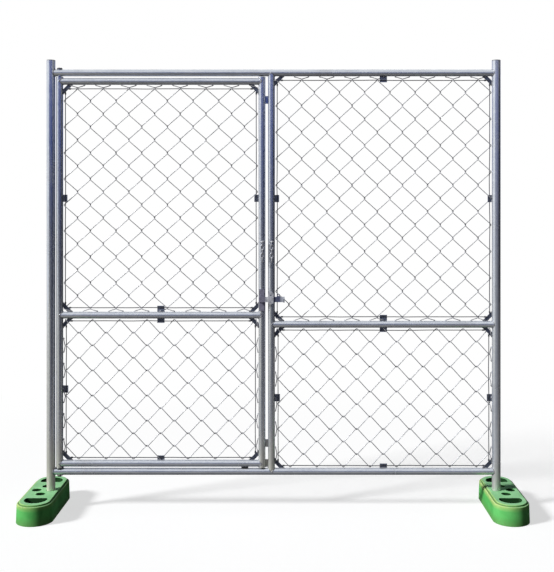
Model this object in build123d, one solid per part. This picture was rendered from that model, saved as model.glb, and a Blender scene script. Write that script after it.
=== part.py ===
from build123d import *
from collections import namedtuple
from math import hypot
import os

# A temporary fence gate: a welded frame of round galvanised tube between two end posts, with a
# swinging leaf on the left, a fixed panel on the right and chain-link infill in both.
# Units are millimetres. The gate stands in the XZ plane with its front towards -Y.
# The origin is on the ground, midway between the two end posts.

# Frame
POST_SPACING = 2090
POST_HEIGHT = 2110
POST_OUTSIDE = 40
RAIL_OUTSIDE = 32
TUBE_WALL = 2
WELD_ROOT = 0.2
TOP_RAIL_Z = 2050
BOTTOM_RAIL_Z = 180
MID_POST_X = -10
FIXED_MID_RAIL_Z = 870
CAP_FLANGE = 3
CAP_PLUG = 20
CAP_PLAY = 0.2

# Leaf
HINGE_X = -1004
LATCH_X = -54.5
LEAF_TOP_Z = 2010
LEAF_MID_Z = 913
LEAF_BOTTOM_Z = 218
STILE_LOW = 200
STILE_HIGH = 2031

# Pivots
SOCKET_OUTSIDE = 20
SOCKET_HEIGHT = 32
PIVOT_RADIUS = 8
PIVOT_RUNNING_PLAY = 0.08
PIVOT_END_PLAY = 0.3
PLUG_DEPTH = 20
PLUG_PLAY = 0.1
BOLT_HEAD_FLATS = 22
BOLT_HEAD_HEIGHT = 5
BOLT_WASHER_OUTSIDE = 26
BOLT_WASHER_THICK = 2
THRUST_WASHER_OUTSIDE = 37
WASHER_HOLE = 8.3
PIN_BELOW_SOCKET = 8
SPLIT_PIN_RADIUS = 2
SPLIT_PIN_LEFT = 12
SPLIT_PIN_RIGHT = 17
SPLIT_PIN_UP = 4.5

# Infill
LOOP_INSET = 11
UPPER_CUT_INSET = 19
LOWER_CUT_INSET = 15
TENSION_RADIUS = 2
NET_WIRE = 4
NET_FRONT_Y = -6.2
LUG_REACH = 33
LUG_WIDTH = 17
LUG_FRONT_Y = -1.5
LUG_THICK = 5
CLIP_LENGTH = 34
CLIP_PAST_WIRE = 9
CLIP_THICK = 3
CLIP_BEND = 3
CLIP_PLAY = 0.2
LIP_FRONT_Y = -1.6

# Gate stops
STOP_HEIGHT = 36
STOP_THICK = 4
STOP_REACH = 42
STOP_SADDLE = 10
STOP_PLAY = 0.5
UPPER_STOP_Z = 1925
LOWER_STOP_Z = 308
SILL_STOP_Z = 214

# Leaf rest
REST_X = -135
REST_LENGTH = 32
REST_WIDTH = 16
REST_PLAY = 0.5

# Latch
BOLT_Z = 989
BOLT_HEIGHT = 24.4
BOLT_THICK = 8
BOLT_LEFT = -24
BOLT_RIGHT = 52
BOLT_BACK_Y = -19.5
BOLT_PULL = 6
BOLT_PULL_REACH = 24
BOLT_CORNER = 2.5
TAB_X = 24
TAB_WIDTH = 12
TAB_THICK = 4
TAB_ROUND = 5
PADLOCK_Z = 1009
PADLOCK_RADIUS = 4
EAR_X = -12.7
GUIDE_WIDTH = 25
GUIDE_HEIGHT = 60
GUIDE_THICK = 4
GUIDE_LEFT = -25
GUIDE_RISE = 8
GUIDE_PLAY = 0.4
LEDGE_HEIGHT = 8
LEDGE_SETBACK = 6
TOE_WIDTH = 4.5
TOE_DROP = 3.3
KEEPER_LOW = 935
KEEPER_HIGH = 1037
KEEPER_PLATE_WIDTH = 24
KEEPER_PLATE_THICK = 3
KEEPER_LEFT = -69
KEEPER_RIGHT = -26.2
KEEPER_STRAP_HEIGHT = 24
KEEPER_STRAP_THICK = 4
KEEPER_PLAY = 1
KEEPER_STANDOFF = 7

# Chain
LINK_WIRE_RADIUS = 2.5
LINK_BEND = 6
LINK_STRAIGHT = 13
LINK_COUNT = 5
CHAIN_Z = 1257
CHAIN_Y = -28
LEAF_CHAIN_X = -52
POST_CHAIN_X = -8

# Feet
FOOT_LENGTH = 476
FOOT_WIDTH = 166
FOOT_RIM_Z = 86
FOOT_DECK_Z = 93
FOOT_DECK_INSET = 13
FOOT_SKIRT_LIFT = 1
FOOT_TAPER = 2
FOOT_SHELL = 4
FOOT_ROUND = 4
FOOT_DECK_ROUND = 3
FILL_PLAY = 0.2
HOLE_RADIUS = 21.5
HOLE_MOUTH = 1.5
HOLE_X = 33
HOLE_Y = 60
HAND_SLOT_RADIUS = 52
HAND_SLOT_Y = 144
HAND_SLOT_FLAT_Y = 122
HAND_SLOT_CORNER = 8
EDGE_BAND = 0.1

POST_X = POST_SPACING / 2
RAIL_RADIUS = RAIL_OUTSIDE / 2
POST_RADIUS = POST_OUTSIDE / 2
SOCKET_RADIUS = SOCKET_OUTSIDE / 2

Panel = namedtuple("Panel", "left right low high side_inset end_inset across down node_at_corner clipped")

# The four infill panels: the tube faces around each one, how far its tension wires stand in from the
# side and end tubes, the chain-link pitches across and down, whether two wires cross in the top left
# corner, and the edges that have a clip. Edges with cut wire ends stand further in than looped ones.
LEAF_UPPER = Panel(HINGE_X + RAIL_RADIUS, LATCH_X - RAIL_RADIUS,
                   LEAF_MID_Z + RAIL_RADIUS, LEAF_TOP_Z - RAIL_RADIUS,
                   LOOP_INSET, UPPER_CUT_INSET, 7.5, 8.5, False, ("left", "right", "low"))
LEAF_LOWER = Panel(HINGE_X + RAIL_RADIUS, LATCH_X - RAIL_RADIUS,
                   LEAF_BOTTOM_Z + RAIL_RADIUS, LEAF_MID_Z - RAIL_RADIUS,
                   LOWER_CUT_INSET, LOOP_INSET, 7, 5.5, True, ("left", "low", "high"))
FIXED_UPPER = Panel(MID_POST_X + RAIL_RADIUS, POST_X - POST_RADIUS,
                    FIXED_MID_RAIL_Z + RAIL_RADIUS, TOP_RAIL_Z - RAIL_RADIUS,
                    LOOP_INSET, UPPER_CUT_INSET, 8.5, 9, True, ("left", "right", "low", "high"))
FIXED_LOWER = Panel(MID_POST_X + RAIL_RADIUS, POST_X - POST_RADIUS,
                    BOTTOM_RAIL_Z + RAIL_RADIUS, FIXED_MID_RAIL_Z - RAIL_RADIUS,
                    LOWER_CUT_INSET, LOOP_INSET, 8, 5.5, True, ("left", "right", "low", "high"))


def upright_rod(x, low, high, radius):
    """A solid round bar standing at x in the plane of the gate."""
    return Pos(x, 0, (low + high) / 2) * Cylinder(radius, high - low)


def level_rod(z, left, right, radius):
    """A solid round bar lying along X at height z in the plane of the gate."""
    return Pos((left + right) / 2, 0, z) * Rot(0, 90, 0) * Cylinder(radius, right - left)


def upright_tube(x, low, high, radius):
    return upright_rod(x, low, high, radius) - upright_rod(x, low, high, radius - TUBE_WALL)


def level_tube(z, left, right, radius):
    return level_rod(z, left, right, radius) - level_rod(z, left, right, radius - TUBE_WALL)


def block(x_range, y_range, z_range):
    """A box between two values along each axis."""
    sizes = [high - low for low, high in (x_range, y_range, z_range)]
    middle = [(high + low) / 2 for low, high in (x_range, y_range, z_range)]
    return Pos(*middle) * Box(*sizes)


def group(shapes):
    """Separate solids that share one node."""
    return Compound([solid for shape in shapes for solid in shape.solids()])


# Solid bars as thick as each tube plus its weld root. What meets a tube is cut back to them.
left_post_bar = upright_rod(-POST_X, 0, POST_HEIGHT, POST_RADIUS + WELD_ROOT)
right_post_bar = upright_rod(POST_X, 0, POST_HEIGHT, POST_RADIUS + WELD_ROOT)
mid_post_bar = upright_rod(MID_POST_X, BOTTOM_RAIL_Z, TOP_RAIL_Z, RAIL_RADIUS + WELD_ROOT)
hinge_stile_bar = upright_rod(HINGE_X, STILE_LOW, STILE_HIGH, RAIL_RADIUS + WELD_ROOT)
latch_stile_bar = upright_rod(LATCH_X, STILE_LOW, STILE_HIGH, RAIL_RADIUS + WELD_ROOT)
socket_bar = upright_rod(HINGE_X, 0, POST_HEIGHT, SOCKET_RADIUS + WELD_ROOT)
top_rail_bar = level_rod(TOP_RAIL_Z, -POST_X, POST_X, RAIL_RADIUS + WELD_ROOT)
bottom_rail_bar = level_rod(BOTTOM_RAIL_Z, -POST_X, POST_X, RAIL_RADIUS + WELD_ROOT)
fixed_mid_bar = level_rod(FIXED_MID_RAIL_Z, MID_POST_X, POST_X, RAIL_RADIUS + WELD_ROOT)
leaf_top_bar = level_rod(LEAF_TOP_Z, HINGE_X, LATCH_X, RAIL_RADIUS + WELD_ROOT)
leaf_mid_bar = level_rod(LEAF_MID_Z, HINGE_X, LATCH_X, RAIL_RADIUS + WELD_ROOT)
leaf_bottom_bar = level_rod(LEAF_BOTTOM_Z, HINGE_X, LATCH_X, RAIL_RADIUS + WELD_ROOT)


def frame_rail(z):
    """A long rail between the end posts, coped to both, with a hole through it for a pivot socket."""
    rail = level_tube(z, -POST_X, POST_X, RAIL_RADIUS)
    return rail - left_post_bar - right_post_bar - socket_bar


def leaf_rail(z):
    """A rail of the leaf, coped to the two stiles."""
    rail = level_tube(z, HINGE_X, LATCH_X, RAIL_RADIUS)
    return rail - hinge_stile_bar - latch_stile_bar


def post_cap(x):
    """A flanged plug that closes the top of an end post."""
    plug_radius = POST_RADIUS - TUBE_WALL - CAP_PLAY
    plug = upright_rod(x, POST_HEIGHT - CAP_FLANGE - CAP_PLUG, POST_HEIGHT - CAP_FLANGE, plug_radius)
    flange = upright_rod(x, POST_HEIGHT - CAP_FLANGE, POST_HEIGHT, POST_RADIUS)
    rim = flange.edges().sort_by(Axis.Z)[-1]
    return plug + fillet(rim, CAP_FLANGE / 2)


def ring(low, high, outside, hole_radius):
    """A round bush, washer or plug on the hinge axis."""
    return upright_rod(HINGE_X, low, high, outside / 2) - upright_rod(HINGE_X, low, high, hole_radius)


def pivot_socket(z):
    """A bored bush that stands through a rail, as tall as the rail is thick."""
    low = z - SOCKET_HEIGHT / 2
    return ring(low, low + SOCKET_HEIGHT, SOCKET_OUTSIDE, PIVOT_RADIUS + PIVOT_RUNNING_PLAY)


def hinge_plugs():
    """The two steel plugs in the ends of the hinge stile that hold the pivots."""
    outside = RAIL_OUTSIDE - 2 * TUBE_WALL - 2 * PLUG_PLAY
    spans = [(STILE_LOW, STILE_LOW + PLUG_DEPTH), (STILE_HIGH - PLUG_DEPTH, STILE_HIGH)]
    return group([ring(low, high, outside, PIVOT_RADIUS + PLUG_PLAY) for low, high in spans])


SOCKET_TOP = TOP_RAIL_Z + SOCKET_HEIGHT / 2
SOCKET_BOTTOM = BOTTOM_RAIL_Z - SOCKET_HEIGHT / 2
THRUST_LOW = BOTTOM_RAIL_Z + SOCKET_HEIGHT / 2 + PIVOT_END_PLAY
BOLT_WASHER_LOW = SOCKET_TOP + PIVOT_END_PLAY
BOLT_HEAD_LOW = BOLT_WASHER_LOW + BOLT_WASHER_THICK
PIN_LOW = SOCKET_BOTTOM - PIN_BELOW_SOCKET
SPLIT_PIN_Z = PIN_LOW + SPLIT_PIN_UP


def pivot_bolt():
    """The hexagon bolt that goes down through the top socket into the stile plug."""
    shank = upright_rod(HINGE_X, STILE_HIGH - PLUG_DEPTH, BOLT_HEAD_LOW, PIVOT_RADIUS)
    hexagon = RegularPolygon(BOLT_HEAD_FLATS / 2, 6, major_radius=False)
    head = Pos(HINGE_X, 0, BOLT_HEAD_LOW) * extrude(hexagon, amount=BOLT_HEAD_HEIGHT)
    return shank + head


def split_pin():
    return level_rod(SPLIT_PIN_Z, HINGE_X - SPLIT_PIN_LEFT, HINGE_X + SPLIT_PIN_RIGHT, SPLIT_PIN_RADIUS)


def pivot_pin():
    """The pin under the hinge stile, cross-drilled for its split pin."""
    pin = upright_rod(HINGE_X, PIN_LOW, STILE_LOW + PLUG_DEPTH, PIVOT_RADIUS)
    drilling = level_rod(SPLIT_PIN_Z, HINGE_X - SPLIT_PIN_LEFT, HINGE_X + SPLIT_PIN_RIGHT,
                         SPLIT_PIN_RADIUS + PLUG_PLAY)
    return pin - drilling


def net(panel):
    """Chain-link infill as one flat holed sheet: diamond gaps, with half gaps along the edges."""
    left = panel.left + panel.side_inset
    high = panel.high - panel.end_inset
    steps_across = round(2 * panel.across)
    steps_down = round(2 * panel.down)
    half_x = (panel.right - panel.left - 2 * panel.side_inset) / steps_across
    half_z = (panel.high - panel.low - 2 * panel.end_inset) / steps_down
    gap_share = 1 - NET_WIRE / 2 * hypot(half_x, half_z) / (half_x * half_z)

    def is_gap(column, row):
        return (column + row) % 2 == (1 if panel.node_at_corner else 0)

    def corner(column, row):
        return left + column * half_x, high - row * half_z

    def gap_points(column, row):
        return [corner(column + step_x * gap_share, row + step_z * gap_share)
                for step_x, step_z in ((-1, 0), (0, -1), (1, 0), (0, 1))]

    top = [(column, 0) for column in range(steps_across)]
    right = [(steps_across, row) for row in range(steps_down)]
    bottom = [(column, steps_down) for column in range(steps_across, 0, -1)]
    left_side = [(0, row) for row in range(steps_down, 0, -1)]
    inside = [(0, 1), (-1, 0), (0, -1), (1, 0)]
    outline = []
    for side, (step_x, step_z) in zip((top, right, bottom, left_side), inside):
        along_x, along_z = step_z, -step_x
        for place, (column, row) in enumerate(side):
            is_corner = place == 0
            if not is_gap(column, row):
                outline += [corner(column, row)] if is_corner else []
                continue
            before = corner(column - along_x * gap_share, row - along_z * gap_share)
            middle = corner(column + step_x * gap_share, row + step_z * gap_share)
            after = corner(column + along_x * gap_share, row + along_z * gap_share)
            outline += [middle, after] if is_corner else [before, middle, after]

    sheet = Wire.make_polygon([Vector(x, NET_FRONT_Y, z) for x, z in outline])
    gaps = [Wire.make_polygon([Vector(x, NET_FRONT_Y, z) for x, z in gap_points(column, row)])
            for column in range(1, steps_across) for row in range(1, steps_down) if is_gap(column, row)]
    return Solid.extrude(Face(sheet, gaps), Vector(0, NET_WIRE, 0))


def panel_corners(panel):
    """Each corner of a panel's tube faces, with the direction into the panel."""
    return [(x, z, step_x, step_z)
            for x, step_x in ((panel.left, 1), (panel.right, -1))
            for z, step_z in ((panel.low, 1), (panel.high, -1))]


def corner_lugs(panel, tubes):
    """Flat bars welded across the corners of a panel, which anchor its tension wires."""
    half_band = LUG_WIDTH / hypot(1, 1)
    near = LUG_REACH - half_band
    far = LUG_REACH + half_band
    bury = TUBE_WALL
    lugs = []
    for x, z, step_x, step_z in panel_corners(panel):
        band = [(-bury, near + bury), (-bury, far + bury), (far + bury, -bury), (near + bury, -bury)]
        points = [Vector(x + step_x * across, LUG_FRONT_Y, z + step_z * down) for across, down in band]
        bar = Solid.extrude(Face(Wire.make_polygon(points)), Vector(0, LUG_THICK, 0))
        lug = Part(bar.wrapped)
        for tube in tubes:
            lug -= tube
        lugs.append(lug)
    return lugs


def tension_wires(panel, lugs):
    """The four straight wires that carry a panel's edges, each ending on two corner lugs."""
    left = panel.left + LUG_REACH - panel.end_inset
    right = panel.right - LUG_REACH + panel.end_inset
    low = panel.low + LUG_REACH - panel.side_inset
    high = panel.high - LUG_REACH + panel.side_inset
    wires = [level_rod(z, left, right, TENSION_RADIUS)
             for z in (panel.low + panel.end_inset, panel.high - panel.end_inset)]
    wires += [upright_rod(x, low, high, TENSION_RADIUS)
              for x in (panel.left + panel.side_inset, panel.right - panel.side_inset)]
    for lug in lugs:
        wires = [wire - lug for wire in wires]
    return group(wires)


def mesh_clips(panel, tubes):
    """Hooked straps at the middle of the clipped edges, which hold the tension wire to the tube."""
    middle_x = (panel.left + panel.right) / 2
    middle_z = (panel.low + panel.high) / 2
    edges = {"left": (Vector(panel.left, 0, middle_z), Vector(1, 0, 0), panel.side_inset),
             "right": (Vector(panel.right, 0, middle_z), Vector(-1, 0, 0), panel.side_inset),
             "low": (Vector(middle_x, 0, panel.low), Vector(0, 0, 1), panel.end_inset),
             "high": (Vector(middle_x, 0, panel.high), Vector(0, 0, -1), panel.end_inset)}
    front = TENSION_RADIUS + CLIP_PLAY
    back = front + CLIP_THICK
    bury = TUBE_WALL
    clips = []
    for origin, inward, inset in (edges[name] for name in panel.clipped):
        reach = inset + CLIP_PAST_WIRE
        lip = reach - CLIP_THICK
        profile = [(-bury, front), (lip, front), (lip, LIP_FRONT_Y),
                   (reach, LIP_FRONT_Y), (reach, back), (-bury, back)]
        along = inward.cross(Vector(0, 1, 0))
        seat = Plane(origin - along * (CLIP_LENGTH / 2), x_dir=inward, z_dir=along)
        strap = extrude(Polygon(*profile, align=None), amount=CLIP_LENGTH)
        bend = strap.edges().filter_by(Axis.Z).sort_by_distance(Vector(reach, back, 0))[0]
        clip = seat * fillet(bend, CLIP_BEND)
        for tube in tubes:
            clip -= tube
        clips.append(clip)
    return clips


def gate_stop(z):
    """A strap on the back of the mid post that the latch stile closes against."""
    half = STOP_HEIGHT / 2
    front = RAIL_RADIUS + STOP_PLAY
    back = front + STOP_THICK
    strap = block((MID_POST_X - STOP_REACH, MID_POST_X), (front, back), (z - half, z + half))
    saddle = block((MID_POST_X - STOP_SADDLE, MID_POST_X + STOP_SADDLE), (STOP_SADDLE, back),
                   (z - half, z + half))
    return strap + saddle - mid_post_bar


def leaf_rest():
    """A pad on the bottom rail that takes the weight of the closed leaf's latch end."""
    half_length = REST_LENGTH / 2
    half_width = REST_WIDTH / 2
    top = LEAF_BOTTOM_Z - RAIL_RADIUS - REST_PLAY
    pad = block((REST_X - half_length, REST_X + half_length), (-half_width, half_width), (BOTTOM_RAIL_Z, top))
    return pad - bottom_rail_bar


BOLT_FRONT_Y = BOLT_BACK_Y - BOLT_THICK
BOLT_LOW = BOLT_Z - BOLT_HEIGHT / 2
BOLT_HIGH = BOLT_Z + BOLT_HEIGHT / 2
GUIDE_BACK_Y = BOLT_FRONT_Y - GUIDE_PLAY
TAB_TOP = PADLOCK_Z + TAB_WIDTH / 2


def padlock_hole(x):
    """A round hole through the latch from front to back, for the padlock's shackle."""
    return Pos(x, BOLT_FRONT_Y, PADLOCK_Z) * Rot(90, 0, 0) * Cylinder(PADLOCK_RADIUS, 4 * BOLT_THICK)


def latch_bolt():
    """The flat bolt: a bar with a turned-out finger pull, a padlock tab and a stop toe."""
    bar = block((BOLT_LEFT, BOLT_RIGHT), (BOLT_FRONT_Y, BOLT_BACK_Y), (BOLT_LOW, BOLT_HIGH))
    pull = block((BOLT_RIGHT - BOLT_PULL, BOLT_RIGHT), (BOLT_FRONT_Y - BOLT_PULL_REACH, BOLT_BACK_Y),
                 (BOLT_LOW, BOLT_HIGH))
    pull_ends = pull.edges().filter_by(Axis.X).group_by(Axis.Y)[0]
    pull = fillet(pull_ends, BOLT_HEIGHT / 4)
    bent = bar + pull
    bend = bent.edges().filter_by(Axis.Z).sort_by_distance(Vector(BOLT_RIGHT, BOLT_BACK_Y, BOLT_Z))[0]
    bent = fillet(bend, BOLT_CORNER)
    tab = block((TAB_X - TAB_WIDTH / 2, TAB_X + TAB_WIDTH / 2),
                (BOLT_FRONT_Y, BOLT_FRONT_Y + TAB_THICK), (BOLT_HIGH - BOLT_CORNER, TAB_TOP))
    tab_ends = tab.edges().filter_by(Axis.Y).group_by(Axis.Z)[-1]
    tab = fillet(tab_ends, TAB_ROUND)
    toe = block((BOLT_LEFT, BOLT_LEFT + TOE_WIDTH), (BOLT_FRONT_Y, BOLT_BACK_Y),
                (BOLT_LOW - TOE_DROP, BOLT_LOW + BOLT_CORNER))
    return bent + tab + toe - padlock_hole(TAB_X)


def latch_guide():
    """The guide on the mid post: a round-ended cover with a padlock ear, on two blocks."""
    middle_x = GUIDE_LEFT + GUIDE_WIDTH / 2
    face = SlotOverall(GUIDE_HEIGHT, GUIDE_WIDTH, rotation=90)
    cover = Pos(middle_x, GUIDE_BACK_Y, BOLT_Z + GUIDE_RISE) * Rot(90, 0, 0)
    cover = cover * extrude(face, amount=GUIDE_THICK)
    toe_end = BOLT_LEFT + TOE_WIDTH + GUIDE_PLAY
    block_depth = (GUIDE_BACK_Y, -RAIL_RADIUS / 2)
    lower = block((toe_end, GUIDE_LEFT + GUIDE_WIDTH - LEDGE_SETBACK), block_depth,
                  (BOLT_LOW - GUIDE_PLAY - LEDGE_HEIGHT, BOLT_LOW - GUIDE_PLAY))
    upper = block((GUIDE_LEFT, toe_end), block_depth,
                  (BOLT_HIGH + GUIDE_PLAY, BOLT_HIGH + GUIDE_PLAY + LEDGE_HEIGHT))
    return cover + lower + upper - padlock_hole(EAR_X) - mid_post_bar


def bolt_keeper():
    """The keeper on the latch stile: a saddle plate and a strap that the bolt slides behind."""
    half_plate = KEEPER_PLATE_WIDTH / 2
    plate_front = -RAIL_RADIUS - KEEPER_PLATE_THICK
    plate = block((LATCH_X - half_plate, LATCH_X + half_plate), (plate_front, -RAIL_RADIUS / 2),
                  (KEEPER_LOW, KEEPER_HIGH))
    strap_back = BOLT_FRONT_Y - KEEPER_PLAY
    strap_front = strap_back - KEEPER_STRAP_THICK
    heights = (BOLT_Z - KEEPER_STRAP_HEIGHT / 2, BOLT_Z + KEEPER_STRAP_HEIGHT / 2)
    strap = block((KEEPER_LEFT, KEEPER_RIGHT), (strap_front, strap_back), heights)
    standoff = block((KEEPER_LEFT, KEEPER_LEFT + KEEPER_STANDOFF), (strap_front, -RAIL_RADIUS / 4), heights)
    bend = KEEPER_STRAP_THICK / 2
    body = strap + standoff
    corner = Vector(KEEPER_LEFT, strap_front, BOLT_Z)
    body = fillet(body.edges().filter_by(Axis.Z).sort_by_distance(corner)[0], bend)
    return plate + body - latch_stile_bar


def link_loop():
    """One chain link lying flat, its first bend at the origin and its second at +X."""
    outline = Pos(LINK_STRAIGHT / 2, 0) * SlotCenterToCenter(LINK_STRAIGHT, 2 * LINK_BEND)
    path = outline.faces()[0].outer_wire()
    section = Plane(path @ 0, z_dir=path % 0) * Circle(LINK_WIRE_RADIUS)
    return sweep(section, path=path)


def chain(x):
    """A hanging tail of links, each turned a quarter turn from the one above."""
    pitch = LINK_STRAIGHT + LINK_BEND
    loop = link_loop()
    links = []
    for place in range(LINK_COUNT):
        turn = 90 * (place % 2)
        links.append(Pos(x, CHAIN_Y, CHAIN_Z - place * pitch) * Rot(0, 0, turn) * Rot(0, 90, 0) * loop)
    return group(links)


def chain_eye(x, tube):
    """A bent rod welded to a tube, which carries the first link of a chain."""
    root = Vector(x - LINK_BEND, 0, CHAIN_Z)
    turn = CHAIN_Y + LINK_BEND
    first = Line(root, (x - LINK_BEND, turn, CHAIN_Z))
    bend = ThreePointArc(first @ 1, (x, CHAIN_Y, CHAIN_Z), (x + LINK_BEND, turn, CHAIN_Z))
    last = Line(bend @ 1, (x + LINK_BEND, 0, CHAIN_Z))
    path = Wire([first, bend, last])
    section = Plane(root, z_dir=(0, -1, 0)) * Circle(LINK_WIRE_RADIUS)
    return sweep(section, path=path) - tube


def edges_at(shape, z):
    """The edges of a shape that lie level at height z."""
    return shape.edges().filter_by_position(Axis.Z, z - EDGE_BAND, z + EDGE_BAND)


def foot_form(inset, low):
    """The outer form of a foot, drawn in by an inset: a tapered base with a raised deck."""
    length = FOOT_LENGTH - 2 * inset
    width = FOOT_WIDTH - 2 * inset
    rim = FOOT_RIM_Z - inset
    deck = FOOT_DECK_Z - inset
    outline = SlotOverall(length, width, rotation=90)
    base = Pos(0, 0, low) * extrude(outline, amount=rim - low, taper=FOOT_TAPER)
    base = fillet(edges_at(base, rim), FOOT_ROUND)
    plateau = SlotOverall(length - 2 * FOOT_DECK_INSET, width - 2 * FOOT_DECK_INSET, rotation=90)
    raised = Pos(0, 0, low) * extrude(plateau, amount=deck - low)
    raised = fillet(edges_at(raised, deck), FOOT_DECK_ROUND)
    return base + raised


def foot_holes(grow):
    """The four post holes, in a diamond, drawn as bars that run past both faces."""
    places = [(HOLE_X, 0), (-HOLE_X, 0), (0, HOLE_Y), (0, -HOLE_Y)]
    return [Pos(x, y, FOOT_DECK_Z / 2) * Cylinder(HOLE_RADIUS + grow, 2 * FOOT_DECK_Z) for x, y in places]


def hand_slots(grow):
    """The two D-shaped hand slots, drawn as bars that run past both faces."""
    reach = HAND_SLOT_RADIUS * 2
    disc = Pos(0, HAND_SLOT_Y) * Circle(HAND_SLOT_RADIUS + grow)
    beyond = Pos(0, HAND_SLOT_FLAT_Y - grow + reach) * Rectangle(2 * reach, 2 * reach)
    outline = disc & beyond
    outline = fillet(outline.vertices(), HAND_SLOT_CORNER)
    slot = Pos(0, 0, -FOOT_DECK_Z / 2) * extrude(outline, amount=2 * FOOT_DECK_Z)
    return [slot, Rot(0, 0, 180) * slot]


def foot_shell():
    """The moulded skin of a foot, open below, with sleeves through it for posts and hands."""
    filling = foot_form(FOOT_SHELL, 0)
    for sleeve in foot_holes(FOOT_SHELL) + hand_slots(FOOT_SHELL):
        filling -= sleeve
    shell = foot_form(0, FOOT_SKIRT_LIFT) - filling
    for cutter in foot_holes(0) + hand_slots(0):
        shell -= cutter
    deck_circles = edges_at(shell, FOOT_DECK_Z).filter_by(GeomType.CIRCLE)
    mouths = [edge for edge in deck_circles if abs(edge.radius - HOLE_RADIUS) < EDGE_BAND]
    return chamfer(mouths, HOLE_MOUTH)


def foot_core():
    """The concrete filling of a foot, which stands on the ground."""
    core = foot_form(FOOT_SHELL + FILL_PLAY, 0)
    for cutter in foot_holes(FOOT_SHELL + FILL_PLAY) + hand_slots(FOOT_SHELL + FILL_PLAY):
        core -= cutter
    return core


leaf_tubes = [hinge_stile_bar, latch_stile_bar, leaf_top_bar, leaf_mid_bar, leaf_bottom_bar]
fixed_tubes = [mid_post_bar, right_post_bar, top_rail_bar, fixed_mid_bar, bottom_rail_bar]
leaf_upper_lugs = corner_lugs(LEAF_UPPER, leaf_tubes)
leaf_lower_lugs = corner_lugs(LEAF_LOWER, leaf_tubes)
fixed_upper_lugs = corner_lugs(FIXED_UPPER, fixed_tubes)
fixed_lower_lugs = corner_lugs(FIXED_LOWER, fixed_tubes)

FOOT_X = POST_X + HOLE_X
shell = foot_shell()
core = foot_core()
mid_post = upright_tube(MID_POST_X, BOTTOM_RAIL_Z, TOP_RAIL_Z, RAIL_RADIUS)
fixed_mid_rail = level_tube(FIXED_MID_RAIL_Z, MID_POST_X, POST_X, RAIL_RADIUS)

nodes = {
    "left_post": upright_tube(-POST_X, 0, POST_HEIGHT - CAP_FLANGE, POST_RADIUS),
    "right_post": upright_tube(POST_X, 0, POST_HEIGHT - CAP_FLANGE, POST_RADIUS),
    "post_caps": group([post_cap(-POST_X), post_cap(POST_X)]),
    "top_rail": frame_rail(TOP_RAIL_Z),
    "bottom_rail": frame_rail(BOTTOM_RAIL_Z),
    "mid_post": mid_post - top_rail_bar - bottom_rail_bar,
    "fixed_mid_rail": fixed_mid_rail - mid_post_bar - right_post_bar,
    "top_pivot_socket": pivot_socket(TOP_RAIL_Z),
    "bottom_pivot_socket": pivot_socket(BOTTOM_RAIL_Z),
    "fixed_upper_mesh": net(FIXED_UPPER),
    "fixed_lower_mesh": net(FIXED_LOWER),
    "fixed_upper_tension_wires": tension_wires(FIXED_UPPER, fixed_upper_lugs),
    "fixed_lower_tension_wires": tension_wires(FIXED_LOWER, fixed_lower_lugs),
    "fixed_corner_lugs": group(fixed_upper_lugs + fixed_lower_lugs),
    "fixed_mesh_clips": group(mesh_clips(FIXED_UPPER, fixed_tubes) + mesh_clips(FIXED_LOWER, fixed_tubes)),
    "upper_gate_stop": gate_stop(UPPER_STOP_Z),
    "lower_gate_stop": gate_stop(LOWER_STOP_Z),
    "sill_gate_stop": gate_stop(SILL_STOP_Z),
    "leaf_rest_pad": leaf_rest(),
    "latch_guide": latch_guide(),
    "post_chain_eye": chain_eye(POST_CHAIN_X, mid_post_bar),
    "post_chain": chain(POST_CHAIN_X),
    "latch_bolt": latch_bolt(),
    "hinge_stile": upright_tube(HINGE_X, STILE_LOW, STILE_HIGH, RAIL_RADIUS),
    "latch_stile": upright_tube(LATCH_X, STILE_LOW, STILE_HIGH, RAIL_RADIUS),
    "leaf_top_rail": leaf_rail(LEAF_TOP_Z),
    "leaf_mid_rail": leaf_rail(LEAF_MID_Z),
    "leaf_bottom_rail": leaf_rail(LEAF_BOTTOM_Z),
    "hinge_stile_plugs": hinge_plugs(),
    "top_pivot_bolt": pivot_bolt(),
    "top_pivot_washer": ring(BOLT_WASHER_LOW, BOLT_HEAD_LOW, BOLT_WASHER_OUTSIDE, WASHER_HOLE),
    "thrust_washer": ring(THRUST_LOW, STILE_LOW, THRUST_WASHER_OUTSIDE, WASHER_HOLE),
    "bottom_pivot_pin": pivot_pin(),
    "split_pin": split_pin(),
    "leaf_upper_mesh": net(LEAF_UPPER),
    "leaf_lower_mesh": net(LEAF_LOWER),
    "leaf_upper_tension_wires": tension_wires(LEAF_UPPER, leaf_upper_lugs),
    "leaf_lower_tension_wires": tension_wires(LEAF_LOWER, leaf_lower_lugs),
    "leaf_corner_lugs": group(leaf_upper_lugs + leaf_lower_lugs),
    "leaf_mesh_clips": group(mesh_clips(LEAF_UPPER, leaf_tubes) + mesh_clips(LEAF_LOWER, leaf_tubes)),
    "bolt_keeper": bolt_keeper(),
    "leaf_chain_eye": chain_eye(LEAF_CHAIN_X, latch_stile_bar),
    "leaf_chain": chain(LEAF_CHAIN_X),
    "left_foot_shell": Pos(-FOOT_X, 0, 0) * shell,
    "left_foot_core": Pos(-FOOT_X, 0, 0) * core,
    "right_foot_shell": Pos(FOOT_X, 0, 0) * shell,
    "right_foot_core": Pos(FOOT_X, 0, 0) * core,
}

os.makedirs("parts", exist_ok=True)
for node, shape in nodes.items():
    export_step(shape, f"parts/{node}.step")
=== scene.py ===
import math

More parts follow.
